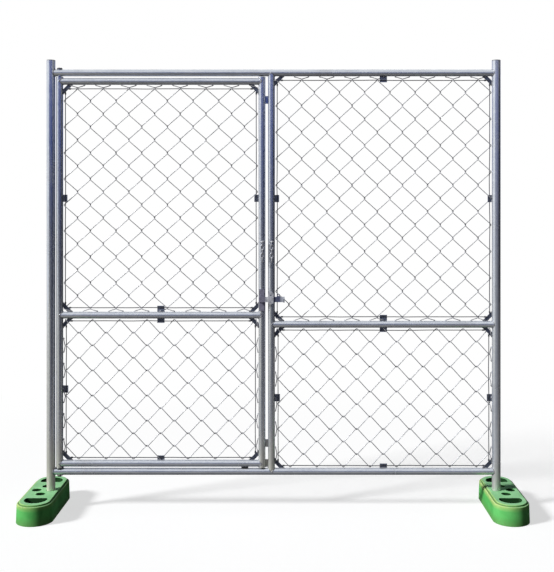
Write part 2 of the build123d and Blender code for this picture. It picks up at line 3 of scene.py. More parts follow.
import bpy
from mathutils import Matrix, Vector


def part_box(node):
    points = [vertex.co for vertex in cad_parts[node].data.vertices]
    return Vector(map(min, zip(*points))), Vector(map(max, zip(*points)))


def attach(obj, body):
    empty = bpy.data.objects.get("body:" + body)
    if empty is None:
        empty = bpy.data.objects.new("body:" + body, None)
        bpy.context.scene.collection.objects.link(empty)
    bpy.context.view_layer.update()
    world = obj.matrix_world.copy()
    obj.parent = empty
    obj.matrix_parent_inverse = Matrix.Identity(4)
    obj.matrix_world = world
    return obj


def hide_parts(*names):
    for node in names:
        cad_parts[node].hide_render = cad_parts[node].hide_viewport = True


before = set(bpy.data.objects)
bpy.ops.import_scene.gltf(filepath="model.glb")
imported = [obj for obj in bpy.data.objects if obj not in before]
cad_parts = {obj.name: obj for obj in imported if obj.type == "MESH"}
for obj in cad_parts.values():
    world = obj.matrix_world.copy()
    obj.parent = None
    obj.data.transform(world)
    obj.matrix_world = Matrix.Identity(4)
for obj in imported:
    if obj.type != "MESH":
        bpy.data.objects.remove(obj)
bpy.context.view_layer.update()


# The two feet: concrete cast into a skin of green moulded polyethylene that has sleeves for posts and hands.
# The skin is scuffed by handling, bleached by the sun, and dusty wherever it faces up. Painted shade
# darkens its holes and the step below its deck, and a painted highlight lightens its rim towards the sun.
MM = 0.001


def linear(code):
    """An sRGB hex colour as the linear colour that a shader takes."""
    channels = [int(code[place:place + 2], 16) / 255 for place in (1, 3, 5)]
    return [c / 12.92 if c <= 0.04045 else ((c + 0.055) / 1.055) ** 2.4 for c in channels] + [1.0]


def link_up(tree, node, sockets):
    """Sets inputs, named or listed in order, to values, sockets, or the first shown outputs of nodes."""
    if isinstance(sockets, list):
        sockets = dict(enumerate(sockets))
    for name, value in sockets.items():
        shown = [socket for socket in node.inputs if socket.enabled]
        socket = shown[name] if isinstance(name, int) else next(s for s in shown if s.name == name)
        if isinstance(value, bpy.types.Node):
            value = next(output for output in value.outputs if output.enabled)
        if isinstance(value, bpy.types.NodeSocket):
            tree.links.new(value, socket)
        else:
            socket.default_value = value


def add_node(tree, kind, sockets=None, stops=(), **settings):
    """Adds one node with its settings, its links and, on a colour ramp, its places and hex colours."""
    node = tree.nodes.new(kind)
    for name, value in settings.items():
        setattr(node, name, value)
    for number, (place, code) in enumerate(stops):
        elements = node.color_ramp.elements
        element = elements[number] if number < len(elements) else elements.new(place)
        element.position = place
        element.color = linear(code)
    link_up(tree, node, sockets or {})
    return node


def new_material(name, **constants):
    """A material, its tree, its shader with the values that are constant, and the place on the object."""
    material = bpy.data.materials.new(name)
    material.use_nodes = True
    tree = material.node_tree
    shader = tree.nodes["Principled BSDF"]
    for socket, value in constants.items():
        shader.inputs[socket.replace("_", " ")].default_value = value
    return material, tree, shader, add_node(tree, "ShaderNodeTexCoord").outputs["Object"]


def paint(material, *nodes):
    """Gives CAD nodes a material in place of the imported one."""
    for name in nodes:
        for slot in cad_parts[name].material_slots:
            slot.material = material


# Polyethylene, rotationally moulded: waxy and half matt, paler where dust and sun have dulled it.
# On the rim of the side towards the sun the paleness is partly a painted highlight.
def moulded_polyethylene():
    material, tree, shader, place = new_material("moulded_polyethylene", IOR=1.5, Specular_IOR_Level=0.12)
    low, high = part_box("right_foot_shell")
    foot_x, half_wide = (low.x + high.x) / 2, (high.x - low.x) / 2
    half_straight = (high.y - low.y) / 2 - half_wide
    rim_width, deck_height = 13 * MM, high.z
    deck_edge = half_wide - rim_width
    x, y, height = add_node(tree, "ShaderNodeSeparateXYZ", [place]).outputs
    facing = add_node(tree, "ShaderNodeNewGeometry").outputs["Normal"]
    facing_up = add_node(tree, "ShaderNodeSeparateXYZ", [facing]).outputs["Z"]

    # How far a point stands off the foot's middle line: the deck and the rim follow lines of equal distance.
    hand = add_node(tree, "ShaderNodeMath", [x], operation="SIGN")
    from_middle = add_node(tree, "ShaderNodeMath", [hand, -foot_x, x], operation="MULTIPLY_ADD")
    past_end = add_node(tree, "ShaderNodeMath", [y], operation="ABSOLUTE")
    past_end = add_node(tree, "ShaderNodeMath", [past_end, half_straight], operation="SUBTRACT")
    past_end = add_node(tree, "ShaderNodeMath", [past_end, 0.0], operation="MAXIMUM")
    offset = add_node(tree, "ShaderNodeCombineXYZ", {"X": from_middle, "Y": past_end})
    off_middle = add_node(tree, "ShaderNodeVectorMath", [offset], operation="LENGTH").outputs["Value"]

    cloud_size, scuff_size, grain_size = 70 * MM, 16 * MM, 1.6 * MM
    clouds = add_node(tree, "ShaderNodeTexNoise", {"Vector": place, "Scale": 1 / cloud_size, "Detail": 4.0})
    scuffs = add_node(tree, "ShaderNodeTexNoise", {"Vector": place, "Scale": 1 / scuff_size, "Detail": 8.0,
                                                   "Roughness": 0.7, "Distortion": 0.6})
    grain = add_node(tree, "ShaderNodeTexNoise", {"Vector": place, "Scale": 1 / grain_size, "Detail": 2.0})

    # Each mask follows a value: where it starts, where it is full, and how strong it is at both.
    # The step below the deck is darkened along this line with painted shade.
    from_step_line = add_node(tree, "ShaderNodeMath", [off_middle, deck_edge + 2 * MM], operation="SUBTRACT")
    from_step_line = add_node(tree, "ShaderNodeMath", [from_step_line], operation="ABSOLUTE")
    masks = {"scuffs": scuffs}
    for label, value, start, full, at_start, at_full in (
            ("deck", facing_up, 0.55, 1.0, 0.0, 1.0),
            ("patches", clouds, 0.2, 0.75, 0.5, 0.95),
            # The side towards the sun: bleached, and given a painted highlight on its rim.
            ("bleached and lit side", from_middle, half_wide / 2, -half_wide, 0.3, 1.0),
            ("rim", off_middle, deck_edge - 8 * MM, deck_edge + 4 * MM, 0.0, 1.0),
            ("up high", height, deck_height - 30 * MM, deck_height - 6 * MM, 0.0, 1.0),
            ("worn", scuffs, 0.3, 0.65, 0.35, 0.9),
            ("painted_step_shade", from_step_line, 4 * MM, 1 * MM, 0.0, 0.7),
            ("below deck", height, deck_height - 2 * MM, deck_height - 5 * MM, 0.0, 1.0),
            ("inside rim", off_middle, deck_edge - 1 * MM, deck_edge - 4 * MM, 0.0, 1.0),
            ("upright", facing_up, 0.6, 0.3, 0.0, 0.92),
            ("near ground", height, 40 * MM, 0.0, 0.0, 0.9),
            ("dull", scuffs, 0.3, 0.7, 0.6, 0.8)):
        masks[label] = add_node(tree, "ShaderNodeMapRange", {"Value": value, "From Min": start,
                                                             "From Max": full, "To Min": at_start,
                                                             "To Max": at_full})

    # Coats, each over the ones before it and as thick as its masks multiplied together: pale dust on the
    # deck; pale yellow over the rim on the side towards the sun, dust together with a painted highlight;
    # painted shade, dark green on the step below the deck and near-black down the holes; and darker olive
    # patches towards the bottom.
    colour = add_node(tree, "ShaderNodeValToRGB", {"Fac": clouds}, [(0.3, "#50AE56"), (0.7, "#6AC66D")])
    for code, first, *others in (("#A8E0AC", "deck", "patches"),
                                 ("#D3D98C", "bleached and lit side", "rim", "up high", "worn"),
                                 ("#235A2C", "painted_step_shade", "below deck"), ("#0B2310", "inside rim", "upright"),
                                 ("#6C7048", "near ground", "scuffs")):
        thickness = masks[first]
        for label in others:
            thickness = add_node(tree, "ShaderNodeMath", [thickness, masks[label]], operation="MULTIPLY")
        colour = add_node(tree, "ShaderNodeMix", {"Factor": thickness, "A": colour, "B": linear(code)},
                          data_type="RGBA")

    bump = add_node(tree, "ShaderNodeBump", {"Height": grain, "Strength": 0.12, "Distance": 0.4 * MM})
    link_up(tree, shader, {"Base Color": colour, "Roughness": masks["dull"], "Normal": bump})
    return material


# Site concrete, poured into the skin and left rough: grey cement with paler and darker grit.
def cast_concrete():
    material, tree, shader, place = new_material("cast_concrete", Roughness=0.9)
    grit_size, stain_size, stone_share = 4 * MM, 60 * MM, 0.35
    grit = add_node(tree, "ShaderNodeTexVoronoi", {"Vector": place, "Scale": 1 / grit_size})
    stain = add_node(tree, "ShaderNodeTexNoise", {"Vector": place, "Scale": 1 / stain_size, "Detail": 6.0})
    cement = add_node(tree, "ShaderNodeValToRGB", {"Fac": stain}, [(0.3, "#83817B"), (0.7, "#A8A69F")])
    stones = add_node(tree, "ShaderNodeValToRGB", {"Fac": grit.outputs["Color"]},
                      [(0.2, "#77746C"), (0.8, "#B9B6AC")])
    mixed = add_node(tree, "ShaderNodeMix", {"Factor": stone_share, "A": cement, "B": stones},
                     data_type="RGBA")
    bump = add_node(tree, "ShaderNodeBump", {"Height": grit.outputs["Distance"], "Strength": 0.5,
                                             "Distance": 1 * MM})
    link_up(tree, shader, {"Base Color": mixed, "Normal": bump})
    return material


paint(moulded_polyethylene(), "left_foot_shell", "right_foot_shell")
paint(cast_concrete(), "left_foot_core", "right_foot_core")


# The tubes: two end posts and the mid post, the rails between them, and the stiles and rails of the leaf.
# Drawn round steel tube, hot-dip galvanised: spangled, streaked along its length and dull in places.
# Near the ground the uprights turn pale beige: splashed dust together with a painted reflection of the
# sunlit ground.
def galvanised_tube(name, stretch, shine, dust_and_reflection_top):
    material, tree, shader, place = new_material(name, Metallic=shine)
    spangle_size, streak_width, patch_size, dust_and_reflection_depth = 11 * MM, 5 * MM, 160 * MM, 250 * MM
    plain_tone, spangle_tone, streak_tone = 0.33, 0.05, 0.4
    plain_dullness, spangle_dullness = 0.21, 0.03
    spangle = add_node(tree, "ShaderNodeTexVoronoi", {"Vector": place, "Scale": 1 / spangle_size})
    along = add_node(tree, "ShaderNodeMapping", {"Vector": place, "Scale": stretch})
    streaks = add_node(tree, "ShaderNodeTexNoise", {"Vector": along, "Scale": 1 / streak_width,
                                                    "Detail": 3.0})
    patches = add_node(tree, "ShaderNodeTexNoise", {"Vector": place, "Scale": 1 / patch_size, "Detail": 5.0,
                                                    "Roughness": 0.6})
    crystal = add_node(tree, "ShaderNodeSeparateColor", [spangle.outputs["Color"]]).outputs["Red"]
    tone = add_node(tree, "ShaderNodeMath", [crystal, spangle_tone, plain_tone], operation="MULTIPLY_ADD")
    tone = add_node(tree, "ShaderNodeMath", [streaks, streak_tone, tone], operation="MULTIPLY_ADD")
    colour = add_node(tree, "ShaderNodeValToRGB", {"Fac": tone},
                      [(0.42, "#B8BFCC"), (0.55, "#CAD0DA"), (0.7, "#DEE2E8")])
    chalk = add_node(tree, "ShaderNodeMapRange", {"Value": patches, "From Min": 0.52, "From Max": 0.72,
                                                  "To Max": 0.45})
    height = add_node(tree, "ShaderNodeSeparateXYZ", [place]).outputs["Z"]
    # Pale beige towards the ground: splashed dust and a painted reflection of the sunlit ground.
    dust_and_reflection = add_node(tree, "ShaderNodeMapRange", {"Value": height, "From Min": dust_and_reflection_top,
                                                 "From Max": dust_and_reflection_top - dust_and_reflection_depth, "To Max": 0.8})
    dullness = add_node(tree, "ShaderNodeMath", [crystal, spangle_dullness, plain_dullness],
                        operation="MULTIPLY_ADD")
    for layer, code, dulling in ((chalk, "#A6A8AB", 0.2), (dust_and_reflection, "#DEDDC8", 0.35)):
        colour = add_node(tree, "ShaderNodeMix", {"Factor": layer, "A": colour, "B": linear(code)},
                          data_type="RGBA")
        dullness = add_node(tree, "ShaderNodeMath", [layer, dulling, dullness], operation="MULTIPLY_ADD")
    bump = add_node(tree, "ShaderNodeBump", {"Height": streaks, "Strength": 0.02, "Distance": 0.3 * MM})
    link_up(tree, shader, {"Base Color": colour, "Roughness": dullness, "Normal": bump})
    return material


LONG_STREAK = 0.03
DUST_AND_REFLECTION_TOP, LOW_DUST_AND_REFLECTION_TOP, NO_DUST_OR_REFLECTION = 380 * MM, 260 * MM, 0.0
UPRIGHT, LEVEL = (1, 1, LONG_STREAK), (LONG_STREAK, 1, 1)
upright_zinc = galvanised_tube("galvanised_upright_tube", UPRIGHT, shine=0.74, dust_and_reflection_top=DUST_AND_REFLECTION_TOP)
level_zinc = galvanised_tube("galvanised_level_tube", LEVEL, shine=0.58, dust_and_reflection_top=NO_DUST_OR_REFLECTION)
dull_zinc = galvanised_tube("dull_galvanised_tube", UPRIGHT, shine=0.6, dust_and_reflection_top=LOW_DUST_AND_REFLECTION_TOP)
paint(upright_zinc, "left_post", "mid_post", "hinge_stile", "latch_stile")
paint(dull_zinc, "right_post")
paint(level_zinc, "top_rail", "bottom_rail", "fixed_mid_rail", "leaf_top_rail", "leaf_mid_rail",
      "leaf_bottom_rail")


# The caps: flanged plugs of black polyethylene pushed into the tops of the posts to keep rain out.
# Years of sun have turned the black to a chalky charcoal.
def mottled(name, layers, stops, dullness, relief=None, **constants):
    """A material that one cloudy pattern varies. Its layers have a size, detail, roughness and share each."""
    material, tree, shader, place = new_material(name, **constants)
    tone = 0.0
    for size, detail, roughness, share in layers:
        cloud = add_node(tree, "ShaderNodeTexNoise", {"Vector": place, "Scale": 1 / size, "Detail": detail,
                                                      "Roughness": roughness})
        tone = add_node(tree, "ShaderNodeMath", [cloud, share, tone], operation="MULTIPLY_ADD")
    colour = add_node(tree, "ShaderNodeValToRGB", {"Fac": tone}, stops)
    low, high = dullness
    dull = add_node(tree, "ShaderNodeMapRange", {"Value": tone, "To Min": low, "To Max": high})
    link_up(tree, shader, {"Base Color": colour, "Roughness": dull})
    if relief:
        strength, depth = relief
        bump = add_node(tree, "ShaderNodeBump", {"Height": tone, "Strength": strength, "Distance": depth})
        link_up(tree, shader, {"Normal": bump})
    return material


sunned_black_plastic = mottled("sunned_black_plastic", [(9 * MM, 5.0, 0.5, 1.0)],
                               [(0.35, "#23252A"), (0.75, "#454950")], dullness=(0.45, 0.75), IOR=1.5)
paint(sunned_black_plastic, "post_caps")


# The pivots: bored bushes through the rails, a hexagon bolt and washer above, a pin, washer and split pin
# below. Turned and forged steel, thinly plated, with grease and grime worked into it.
greasy_steel = mottled("greasy_plated_steel", [(12 * MM, 6.0, 0.65, 1.0)],
                       [(0.3, "#3C3D3F"), (0.55, "#74777B"), (0.8, "#9A9DA1")], dullness=(0.55, 0.3),
                       relief=(0.15, 0.4 * MM), Metallic=0.75)


def dress(name, mesh, material, body, slot_name, *replaced):
    """Makes a mesh a finished piece with its material and body, in place of the CAD nodes it stands for.
    Its slot name is not used.
    """
    mesh.materials.clear()
    mesh.materials.append(material)
    piece = bpy.data.objects.new(name, mesh)
    bpy.context.scene.collection.objects.link(piece)
    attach(piece, body)
    if replaced:
        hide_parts(*replaced)
    return piece


def mesh_of(name, points, edges=(), faces=()):
    mesh = bpy.data.meshes.new(name)
    mesh.from_pydata(points, list(edges), list(faces))
    mesh.update()
    return mesh


def stacked(rings):
    """The faces of a closed solid from stacked rings of points, the lowest and highest of them capped."""
    count = len(rings[0])
    faces = [list(range(count))[::-1]]
    for level in range(len(rings) - 1):
        low, high = level * count, (level + 1) * count
        for place in range(count):
            after = (place + 1) % count
            faces.append([low + place, low + after, high + after, high + place])
    faces.append([(len(rings) - 1) * count + place for place in range(count)])
    return faces


def hexagon_bolt():
    """The pivot bolt: a plain shank, a washer face and a head whose corners are chamfered as a cone."""
    low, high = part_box("top_pivot_bolt")
    axis_x = (low.x + high.x) / 2
    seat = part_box("top_pivot_washer")[1].z
    shank, flats, washer_step = 8 * MM, 11 * MM, 0.8 * MM
    crown, slope = 0.92 * flats, math.tan(math.radians(30))
    count, sector = 48, math.pi / 3
    angles = [2 * math.pi * place / count for place in range(count)]
    sides = [flats / math.cos(angle % sector - sector / 2) for angle in angles]
    levels = [([shank] * count, [low.z] * count), ([shank] * count, [seat] * count),
              ([crown] * count, [seat] * count), ([crown] * count, [seat + washer_step] * count),
              (sides, [seat + washer_step] * count),
              (sides, [high.z - (side - crown) * slope for side in sides]),
              ([crown] * count, [high.z] * count)]
    rings = [[(axis_x + radius * math.cos(angle), radius * math.sin(angle), z)
              for angle, radius, z in zip(angles, radii, heights)] for radii, heights in levels]
    return mesh_of("pivot_bolt", [point for ring in rings for point in ring], faces=stacked(rings))


def wire_along(name, route, radius):
    """A round wire along a smooth line that given points steer, as a mesh."""
    curve = bpy.data.curves.new(name, "CURVE")
    curve.dimensions = "3D"
    curve.bevel_depth = radius
    curve.bevel_resolution = 2
    curve.use_fill_caps = True
    spline = curve.splines.new("NURBS")
    spline.points.add(len(route) - 1)
    for point, place in zip(spline.points, route):
        point.co = (*place, 1)
    spline.order_u = 3
    spline.use_endpoint_u = True
    spline.resolution_u = 6
    shape = bpy.data.objects.new(name, curve)
    bpy.context.scene.collection.objects.link(shape)
    mesh = bpy.data.meshes.new_from_object(shape.evaluated_get(bpy.context.evaluated_depsgraph_get()))
    bpy.data.objects.remove(shape)
    bpy.data.curves.remove(curve)
    return mesh


def split_pin():
    """The split pin: doubled wire through the pivot pin, an eye at one end, its legs spread at the other."""
    low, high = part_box("split_pin")
    middle = (low + high) / 2
    half, wire_radius, eye, spread, pin_radius = 1.0 * MM, 0.95 * MM, 2.2 * MM, 2.2 * MM, 8 * MM
    pin_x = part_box("bottom_pivot_pin")[0].x + pin_radius
    neck, far = pin_x - pin_radius, high.x - half
    upper = [(pin_x + pin_radius + 2 * half, half), (pin_x, half), (neck, half)]
    loop = [(neck - half, eye), (low.x + half, eye), (low.x + half, -eye), (neck - half, -eye)]
    lower = [(neck, -half), (pin_x, -half), (pin_x + pin_radius + half, -half)]
    route = [(far, spread)] + upper + loop + lower + [(far - 2 * half, -spread)]
    return wire_along("split_pin_wire", [(x, middle.y, middle.z + z) for x, z in route], wire_radius)


paint(upright_zinc, "top_pivot_socket", "bottom_pivot_socket")
paint(greasy_steel, "hinge_stile_plugs", "top_pivot_washer", "thrust_washer", "bottom_pivot_pin")
dress("pivot_bolt", hexagon_bolt(), greasy_steel, "gate_leaf", "pivot_steel", "top_pivot_bolt")
dress("looped_split_pin", split_pin(), greasy_steel, "gate_leaf", "pivot_steel", "split_pin")


# The corner lugs, the clips and the gate stops: flat bar, cut, bent and welded to the tubes, then galvanised
# with them. Lugs and clips are duller, and painted dark navy-grey: painted shade on flat faces turned from
# the sun, tinted blue as a painted reflection of the sky.
def shade_painted_galvanised_bar(name, dark, pale):
    material, tree, shader, place = new_material(name, Metallic=0.7)
    crust_size, fleck_size = 14 * MM, 3 * MM
    crust = add_node(tree, "ShaderNodeTexNoise", {"Vector": place, "Scale": 1 / crust_size, "Detail": 6.0,
                                                  "Roughness": 0.7})
    flecks = add_node(tree, "ShaderNodeTexNoise", {"Vector": place, "Scale": 1 / fleck_size, "Detail": 3.0})
    zinc = add_node(tree, "ShaderNodeValToRGB", {"Fac": crust}, [(0.3, dark), (0.7, pale)])
    worn = add_node(tree, "ShaderNodeMapRange", {"Value": flecks, "From Min": 0.62, "From Max": 0.7,
                                                 "To Max": 0.5})
    flecked = add_node(tree, "ShaderNodeMix", {"Factor": worn, "A": zinc, "B": linear("#B4BAC4")},
                       data_type="RGBA")
    dullness = add_node(tree, "ShaderNodeMapRange", {"Value": crust, "To Min": 0.35, "To Max": 0.65})
    bump = add_node(tree, "ShaderNodeBump", {"Height": crust, "Strength": 0.25, "Distance": 0.5 * MM})
    link_up(tree, shader, {"Base Color": flecked, "Roughness": dullness, "Normal": bump})
    return material


# Painted shade and painted sky reflection: the lugs darkest, the clips a little paler.
lug_bar = shade_painted_galvanised_bar("shade_painted_galvanised_bar", "#343A4C", "#656D80")
clip_strip = shade_painted_galvanised_bar("galvanised_strip", "#5A6276", "#8E96A8")
paint(lug_bar, "fixed_corner_lugs", "leaf_corner_lugs")
paint(clip_strip, "fixed_mesh_clips", "leaf_mesh_clips")
paint(upright_zinc, "upper_gate_stop", "lower_gate_stop", "sill_gate_stop")


# The rest pad: a block of black rubber on the bottom rail that takes the weight of the closed leaf.
black_rubber = mottled("black_rubber", [(2.5 * MM, 6.0, 0.5, 1.0)], [(0.35, "#121214"), (0.75, "#2E2F33")],
                       dullness=(0.6, 0.9), relief=(0.3, 0.4 * MM), IOR=1.52)
paint(black_rubber, "leaf_rest_pad")


# The weld beads: ripples of filler metal round every tube joint and along the bars and plates on the tubes.
# They were made before galvanising, so zinc covers them, thin and brownish where flux was left on.
weld_metal = mottled("galvanised_weld", [(6 * MM, 5.0, 0.65, 1.0)],
                     [(0.3, "#625D58"), (0.5, "#85868A"), (0.75, "#A5A9B0")], dullness=(0.65, 0.35),
                     relief=(0.3, 0.5 * MM), Metallic=0.6)


def new_tree(name, **inputs):
    """An empty geometry tree with named inputs, and the sockets that give their values."""
    tree = bpy.data.node_groups.new(name, "GeometryNodeTree")
    for label, kind in inputs.items():
        tree.interface.new_socket(label.replace("_", " "), in_out="INPUT", socket_type="NodeSocket" + kind)
    tree.interface.new_socket("Geometry", in_out="OUTPUT", socket_type="NodeSocketGeometry")
    return tree, add_node(tree, "NodeGroupInput").outputs


def end_tree(tree, geometry, material):
    """The tree's last steps: real faces, smooth, with their material."""
    realized = add_node(tree, "GeometryNodeRealizeInstances", [geometry])
    smooth = add_node(tree, "GeometryNodeSetShadeSmooth", [realized])
    painted = add_node(tree, "GeometryNodeSetMaterial", {"Geometry": smooth, "Material": material})
    add_node(tree, "NodeGroupOutput", [painted])


def made_by(tree, mesh, **values):
    """The plain mesh that a geometry tree makes from a mesh and the values of its named inputs."""
    maker = bpy.data.objects.new(tree.name, mesh)
    bpy.context.scene.collection.objects.link(maker)
    modifier = maker.modifiers.new(tree.name, "NODES")
    modifier.node_group = tree
    sockets = {s.name: s.identifier for s in tree.interface.items_tree if s.in_out == "INPUT"}
    for label, value in values.items():
        modifier[sockets[label.replace("_", " ")]] = value
    result = bpy.data.meshes.new_from_object(maker.evaluated_get(bpy.context.evaluated_depsgraph_get()))
    maker.modifiers.remove(modifier)
    bpy.data.objects.remove(maker)
    return result


def weld_tree():
    """Lays a rippled bead along the edges of a mesh, a little uneven in width."""
    tree, given = new_tree("weld_bead", Seam="Geometry", Bead_Radius="Float", Ripple_Spacing="Float",
                           Material="Material")
    step, wander_size = 0.9 * MM, 12 * MM
    plain_width, ripple_width, wander_width, sides = 0.75, 0.12, 0.5, 8
    lines = add_node(tree, "GeometryNodeMeshToCurve", {"Mesh": given["Seam"]})
    even = add_node(tree, "GeometryNodeResampleCurve", {"Curve": lines, "Length": step}, mode="LENGTH")
    run = add_node(tree, "GeometryNodeSplineParameter").outputs["Length"]
    turns = add_node(tree, "ShaderNodeMath", [run, given["Ripple Spacing"]], operation="DIVIDE")
    phase = add_node(tree, "ShaderNodeMath", [turns, 2 * math.pi], operation="MULTIPLY")
    wave = add_node(tree, "ShaderNodeMath", [phase], operation="SINE")
    ripple = add_node(tree, "ShaderNodeMath", [wave, ripple_width, plain_width], operation="MULTIPLY_ADD")
    place = add_node(tree, "GeometryNodeInputPosition")
    wander = add_node(tree, "ShaderNodeTexNoise", {"Vector": place, "Scale": 1 / wander_size})
    width = add_node(tree, "ShaderNodeMath", [wander, wander_width, ripple], operation="MULTIPLY_ADD")
    size = add_node(tree, "ShaderNodeMath", [width, given["Bead Radius"]], operation="MULTIPLY")
    section = add_node(tree, "GeometryNodeCurvePrimitiveCircle", {"Resolution": sides, "Radius": 1.0})
    bead = add_node(tree, "GeometryNodeCurveToMesh", {"Curve": even, "Profile Curve": section, "Scale": size,
                                                      "Fill Caps": True})
    end_tree(tree, bead, given["Material"])
    return tree


def tube(node):
    """The centre and the radius of a straight tube, from its box: its depth is its outside diameter."""
    low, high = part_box(node)
    return (low + high) / 2, (high.y - low.y) / 2


def round_the_clock(count=32):
    """Angles once round a tube, the first of them again at the end."""
    return [2 * math.pi * turn / count for turn in range(count + 1)]


def coped_seam(end, wall, along):
    """The closed seam where the end of a tube that runs along X (0) or Z (2) is coped to another's wall."""
    (end_at, end_radius), (wall_at, wall_radius) = tube(end), tube(wall)
    side, across = math.copysign(1, end_at[along] - wall_at[along]), 2 - along
    seam = []
    for angle in round_the_clock():
        y = end_radius * math.sin(angle)
        point = [0.0, y, 0.0]
        point[along] = wall_at[along] + side * math.sqrt(max(wall_radius ** 2 - y ** 2, 0))
        point[across] = end_at[across] + end_radius * math.cos(angle)
        seam.append(point)
    return seam


LUG_REACH, LUG_WIDTH, LUG_FRONT, LUG_BACK = 33 * MM, 17 * MM, -1.5 * MM, 3.5 * MM
CLIP_LENGTH, CLIP_FRONT, CLIP_BACK = 34 * MM, 2.2 * MM, 5.2 * MM
PANEL_TUBES = {"leaf_upper": ("hinge_stile", "latch_stile", "leaf_mid_rail", "leaf_top_rail"),
               "leaf_lower": ("hinge_stile", "latch_stile", "leaf_bottom_rail", "leaf_mid_rail"),
               "fixed_upper": ("mid_post", "right_post", "fixed_mid_rail", "top_rail"),
               "fixed_lower": ("mid_post", "right_post", "bottom_rail", "fixed_mid_rail")}
ALL_EDGES = ("left", "right", "low", "high")
CLIPPED_EDGES = {"leaf_upper": ("left", "right", "low"), "leaf_lower": ("left", "low", "high"),
                 "fixed_upper": ALL_EDGES, "fixed_lower": ALL_EDGES}


def tube_faces(panel):
    """The inner faces of the tubes on the left and right of a panel, below it and above it."""
    left, right, below, above = [tube(node) for node in PANEL_TUBES[panel]]
    return left[0].x + left[1], right[0].x - right[1], below[0].z + below[1], above[0].z - above[1]


def insets(panel):
    """How far a panel's tension wires stand in from the tubes at its sides and at its ends."""
    left, _, below, _ = tube_faces(panel)
    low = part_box(panel + "_mesh")[0]
    return low.x - left, low.z - below


def lug_seams(panel):
    """Short seams where each corner lug meets its two tubes, on its front and its back."""
    left, right, low, high = tube_faces(panel)
    near, far = LUG_REACH - LUG_WIDTH / math.sqrt(2), LUG_REACH + LUG_WIDTH / math.sqrt(2)
    seams = []
    for x, step_x in ((left, 1), (right, -1)):
        for z, step_z in ((low, 1), (high, -1)):
            for y in (LUG_FRONT, LUG_BACK):
                seams.append([(x, y, z + step_z * near), (x, y, z + step_z * far)])
                seams.append([(x + step_x * near, y, z), (x + step_x * far, y, z)])
    return seams


def clip_seams(panel):
    """Short seams where each clip meets its tube."""
    left, right, low, high = tube_faces(panel)
    middle_x, middle_z, half = (left + right) / 2, (low + high) / 2, CLIP_LENGTH / 2
    ends = {"left": (left, left, middle_z - half, middle_z + half),
            "right": (right, right, middle_z - half, middle_z + half),
            "low": (middle_x - half, middle_x + half, low, low),
            "high": (middle_x - half, middle_x + half, high, high)}
    return [[(ends[edge][0], y, ends[edge][2]), (ends[edge][1], y, ends[edge][3])]
            for edge in CLIPPED_EDGES[panel] for y in (CLIP_FRONT, CLIP_BACK)]


def side_seams(node, upright, inset, facing):
    """Two upright seams where the sides of a plate meet the round of a tube, in front (-1) or behind (1)."""
    low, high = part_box(node)
    at, radius = tube(upright)
    y = facing * math.sqrt(radius ** 2 - inset ** 2)
    return [[(at.x + side * inset, y, low.z), (at.x + side * inset, y, high.z)] for side in (-1, 1)]


def eye_seams(eye, upright):
    """A ring round each leg of a chain eye where it meets its tube."""
    low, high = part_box(eye)
    at, radius = tube(upright)
    rod_radius, middle_z = (high.z - low.z) / 2, (low.z + high.z) / 2
    rings = []
    for x in (low.x + rod_radius, high.x - rod_radius):
        y = -math.sqrt(radius ** 2 - (x - at.x) ** 2)
        rings.append([(x + rod_radius * math.cos(angle), y, middle_z + rod_radius * math.sin(angle))
                      for angle in round_the_clock(16)])
    return rings


def lay_beads(name, seams, body):
    """All the beads on one body as one piece."""
    points, edges = [], []
    for seam in seams:
        edges += [(len(points) + place, len(points) + place + 1) for place in range(len(seam) - 1)]
        points += seam
    bead_radius, ripple_spacing = 2.3 * MM, 2.6 * MM
    beads = made_by(weld_beads, mesh_of(name, points, edges), Bead_Radius=bead_radius,
                    Ripple_Spacing=ripple_spacing, Material=weld_metal)
    dress(name, beads, weld_metal, body, "bracket_steel")


weld_beads = weld_tree()
STOP_SADDLE, KEEPER_HALF = 10 * MM, 12 * MM
ALONG_X, ALONG_Z = 0, 2
FIXED_PANELS, LEAF_PANELS = ("fixed_upper", "fixed_lower"), ("leaf_upper", "leaf_lower")
frame_seams = [coped_seam(rail, post, ALONG_X) for rail in ("top_rail", "bottom_rail")
               for post in ("left_post", "right_post")]
frame_seams += [coped_seam("fixed_mid_rail", post, ALONG_X) for post in ("mid_post", "right_post")]
frame_seams += [coped_seam("mid_post", rail, ALONG_Z) for rail in ("top_rail", "bottom_rail")]
for panel in FIXED_PANELS:
    frame_seams += lug_seams(panel) + clip_seams(panel)
for stop in ("upper_gate_stop", "lower_gate_stop", "sill_gate_stop"):
    frame_seams += side_seams(stop, "mid_post", STOP_SADDLE, 1)
frame_seams += eye_seams("post_chain_eye", "mid_post")
lay_beads("frame_weld_beads", frame_seams, "frame")

leaf_seams = [coped_seam(rail, stile, ALONG_X)
              for rail in ("leaf_top_rail", "leaf_mid_rail", "leaf_bottom_rail")
              for stile in ("hinge_stile", "latch_stile")]
for panel in LEAF_PANELS:
    leaf_seams += lug_seams(panel) + clip_seams(panel)
leaf_seams += side_seams("bolt_keeper", "latch_stile", KEEPER_HALF, -1)
leaf_seams += eye_seams("leaf_chain_eye", "latch_stile")
lay_beads("leaf_weld_beads", leaf_seams, "gate_leaf")


# The tension wires: four to a panel, pulled from lug to lug inside the tubes to carry the edges of the mesh.
# Hard-drawn galvanised wire, never quite straight, with a tie wound round it where it leaves each lug.
def drawn_wire(name, dark, pale, shine):
    """Wire with a thin skin of zinc: grey and half dull, with long stains and fine flecks."""
    fine_flecks, long_stains = (4 * MM, 2.0, 0.5, 0.15), (60 * MM, 4.0, 0.5, 0.85)
    return mottled(name, [fine_flecks, long_stains], [(0.35, dark), (0.65, pale)], dullness=(0.55, 0.3),
                   Metallic=shine)


def rounded(tree, line, sides, radius):
    """Sweeps a round section along a line and closes its ends, which makes the line a wire."""
    section = add_node(tree, "GeometryNodeCurvePrimitiveCircle", {"Resolution": sides, "Radius": radius})
    return add_node(tree, "GeometryNodeCurveToMesh", {"Curve": line, "Profile Curve": section,
                                                      "Fill Caps": True})


